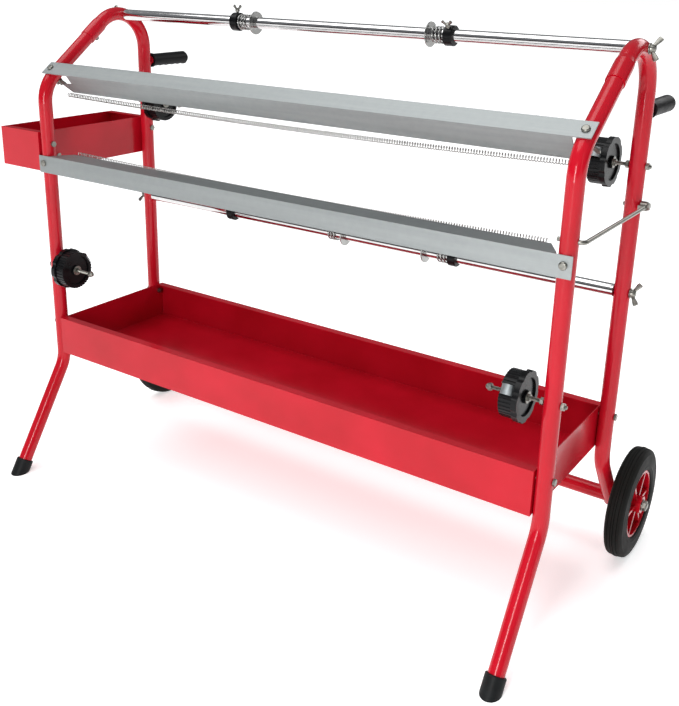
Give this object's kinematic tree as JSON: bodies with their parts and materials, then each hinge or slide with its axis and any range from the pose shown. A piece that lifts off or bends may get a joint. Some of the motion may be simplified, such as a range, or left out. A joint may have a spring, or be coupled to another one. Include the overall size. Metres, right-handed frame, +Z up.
{
  "type": "masking paper dispenser trolley",
  "caption": "Wheeled bent-tube stand with a deep tray and a side tray, tear-off bars with long springs, hubs for paper rolls and tubes with clamped stops for tape rolls.",
  "frame": {"origin": "on the floor, in the middle of the footprint", "axes": "+Z up, +X to the right as seen from the feet, +Y back towards the wheels"},
  "size_m": [1.2174, 0.5752, 0.8998],
  "materials": {
    "red_paint": "gloss powder coat",
    "tyre": "matte",
    "rubber": "matte",
    "grip_vinyl": "satin",
    "galvanised_sheet": "galvanised",
    "chrome": "polished",
    "black_plastic": "satin",
    "spring_steel": "bright wire",
    "zinc_plate": "zinc plated"
  },
  "bodies": {
    "frame": {"axle_nuts": "zinc_plate", "axle_rod": "zinc_plate", "axle_tube": "red_paint", "brace_rod": "zinc_plate", "cutter_bar_bolts": "zinc_plate", "cutter_bar_wing_nuts": "zinc_plate", "frame_joint_screws": "zinc_plate", "left_foot_cap": "rubber", "left_front_tube": "red_paint", "left_grip": "grip_vinyl", "left_rear_tube": "red_paint", "lower_cutter_bar": "galvanised_sheet", "lower_paper_spring": "spring_steel", "lower_tape_tube": "chrome", "main_tray": "red_paint", "right_foot_cap": "rubber", "right_front_tube": "red_paint", "right_grip": "grip_vinyl", "right_rear_tube": "red_paint", "roll_spindles": "zinc_plate", "side_tray": "red_paint", "spindle_nuts": "zinc_plate", "tape_tube_wing_bolts": "zinc_plate", "top_tape_tube": "chrome", "tray_bolts": "zinc_plate", "tray_nuts": "zinc_plate", "upper_cutter_bar": "galvanised_sheet", "upper_paper_spring": "spring_steel"},
    "left_wheel": {"left_tyre": "tyre", "left_rim": "red_paint"},
    "right_wheel": {"right_tyre": "tyre", "right_rim": "red_paint"},
    "upper_left_hub_carrier": {"upper_left_hub_nuts": "zinc_plate"},
    "upper_left_spool": {"upper_left_spool_hub": "black_plastic", "upper_left_leaf_spring": "spring_steel"},
    "upper_right_hub_carrier": {"upper_right_hub_nuts": "zinc_plate"},
    "upper_right_spool": {"upper_right_spool_hub": "black_plastic", "upper_right_leaf_spring": "spring_steel"},
    "lower_left_hub_carrier": {"lower_left_hub_nuts": "zinc_plate"},
    "lower_left_spool": {"lower_left_spool_hub": "black_plastic", "lower_left_leaf_spring": "spring_steel"},
    "lower_right_hub_carrier": {"lower_right_hub_nuts": "zinc_plate"},
    "lower_right_spool": {"lower_right_spool_hub": "black_plastic", "lower_right_leaf_spring": "spring_steel"},
    "top_left_tape_stop": {"top_left_collar": "black_plastic", "top_left_coil_spring": "spring_steel"},
    "top_left_thumb_screw": {"top_left_collar_screw": "zinc_plate"},
    "top_left_tape_ring": {"top_left_ring": "spring_steel"},
    "top_right_tape_stop": {"top_right_collar": "black_plastic", "top_right_coil_spring": "spring_steel"},
    "top_right_thumb_screw": {"top_right_collar_screw": "zinc_plate"},
    "top_right_tape_ring": {"top_right_ring": "spring_steel"},
    "lower_left_tape_stop": {"lower_left_collar": "black_plastic"},
    "lower_left_thumb_screw": {"lower_left_collar_screw": "zinc_plate"},
    "lower_left_ring_and_coil": {"lower_left_ring": "spring_steel", "lower_left_coil_spring": "spring_steel"},
    "lower_right_tape_stop": {"lower_right_collar": "black_plastic", "lower_right_coil_spring": "spring_steel"},
    "lower_right_thumb_screw": {"lower_right_collar_screw": "zinc_plate"},
    "lower_right_tape_ring": {"lower_right_ring": "spring_steel"}
  },
  "joints": [
    {"name": "left_wheel_spin", "type": "hinge", "parent": "frame", "child": "left_wheel", "pos_m": [-0.5257, 0.19009, 0.0975], "axis": [1, 0, 0], "continuous": true},
    {"name": "right_wheel_spin", "type": "hinge", "parent": "frame", "child": "right_wheel", "pos_m": [0.5797, 0.19009, 0.0975], "axis": [1, 0, 0], "continuous": true},
    {"name": "upper_left_hub_slide", "type": "slide", "parent": "frame", "child": "upper_left_hub_carrier", "axis": [1, 0, 0], "range_m": [-0.003, 0.014]},
    {"name": "upper_left_spool_spin", "type": "hinge", "parent": "upper_left_hub_carrier", "child": "upper_left_spool", "pos_m": [-0.446, 0.11671, 0.695], "axis": [1, 0, 0], "continuous": true},
    {"name": "upper_right_hub_slide", "type": "slide", "parent": "frame", "child": "upper_right_hub_carrier", "axis": [-1, 0, 0], "range_m": [-0.011, 0.014]},
    {"name": "upper_right_spool_spin", "type": "hinge", "parent": "upper_right_hub_carrier", "child": "upper_right_spool", "pos_m": [0.49, 0.11671, 0.695], "axis": [1, 0, 0], "continuous": true},
    {"name": "lower_left_hub_slide", "type": "slide", "parent": "frame", "child": "lower_left_hub_carrier", "axis": [1, 0, 0], "range_m": [-0.003, 0.014]},
    {"name": "lower_left_spool_spin", "type": "hinge", "parent": "lower_left_hub_carrier", "child": "lower_left_spool", "pos_m": [-0.446, -0.13929, 0.4], "axis": [1, 0, 0], "continuous": true},
    {"name": "lower_right_hub_slide", "type": "slide", "parent": "frame", "child": "lower_right_hub_carrier", "axis": [-1, 0, 0], "range_m": [-0.011, 0.014]},
    {"name": "lower_right_spool_spin", "type": "hinge", "parent": "lower_right_hub_carrier", "child": "lower_right_spool", "pos_m": [0.49, -0.13929, 0.4], "axis": [1, 0, 0], "continuous": true},
    {"name": "top_left_collar_slide", "type": "slide", "parent": "frame", "child": "top_left_tape_stop", "axis": [1, 0, 0], "range_m": [-0.25, 0.06]},
    {"name": "top_left_screw_turn", "type": "hinge", "parent": "top_left_tape_stop", "child": "top_left_thumb_screw", "pos_m": [-0.1905, 0.06227, 0.86895], "axis": [0, 0, 1], "range_deg": [0, 360]},
    {"name": "top_left_ring_slide", "type": "slide", "parent": "top_left_tape_stop", "child": "top_left_tape_ring", "axis": [1, 0, 0], "range_m": [-0.0115, 0.04]},
    {"name": "top_right_collar_slide", "type": "slide", "parent": "frame", "child": "top_right_tape_stop", "axis": [1, 0, 0], "range_m": [-0.06, 0.25]},
    {"name": "top_right_screw_turn", "type": "hinge", "parent": "top_right_tape_stop", "child": "top_right_thumb_screw", "pos_m": [0.244, 0.06227, 0.86895], "axis": [0, -0.6157, 0.788], "range_deg": [0, 360]},
    {"name": "top_right_ring_slide", "type": "slide", "parent": "top_right_tape_stop", "child": "top_right_tape_ring", "axis": [-1, 0, 0], "range_m": [-0.0045, 0.04]},
    {"name": "lower_left_collar_slide", "type": "slide", "parent": "frame", "child": "lower_left_tape_stop", "axis": [1, 0, 0], "range_m": [-0.19, 0.06]},
    {"name": "lower_left_screw_turn", "type": "hinge", "parent": "lower_left_tape_stop", "child": "lower_left_thumb_screw", "pos_m": [-0.253, 0.11671, 0.495], "axis": [0, 0, 1], "range_deg": [0, 360]},
    {"name": "lower_left_ring_slide", "type": "slide", "parent": "frame", "child": "lower_left_ring_and_coil", "axis": [1, 0, 0], "range_m": [-0.15, 0.05]},
    {"name": "lower_right_collar_slide", "type": "slide", "parent": "frame", "child": "lower_right_tape_stop", "axis": [1, 0, 0], "range_m": [-0.04, 0.25]},
    {"name": "lower_right_screw_turn", "type": "hinge", "parent": "lower_right_tape_stop", "child": "lower_right_thumb_screw", "pos_m": [0.247, 0.11671, 0.495], "axis": [0, -0.342, 0.9397], "range_deg": [0, 360]},
    {"name": "lower_right_ring_slide", "type": "slide", "parent": "lower_right_tape_stop", "child": "lower_right_tape_ring", "axis": [-1, 0, 0], "range_m": [-0.0245, 0.04]}
  ]
}
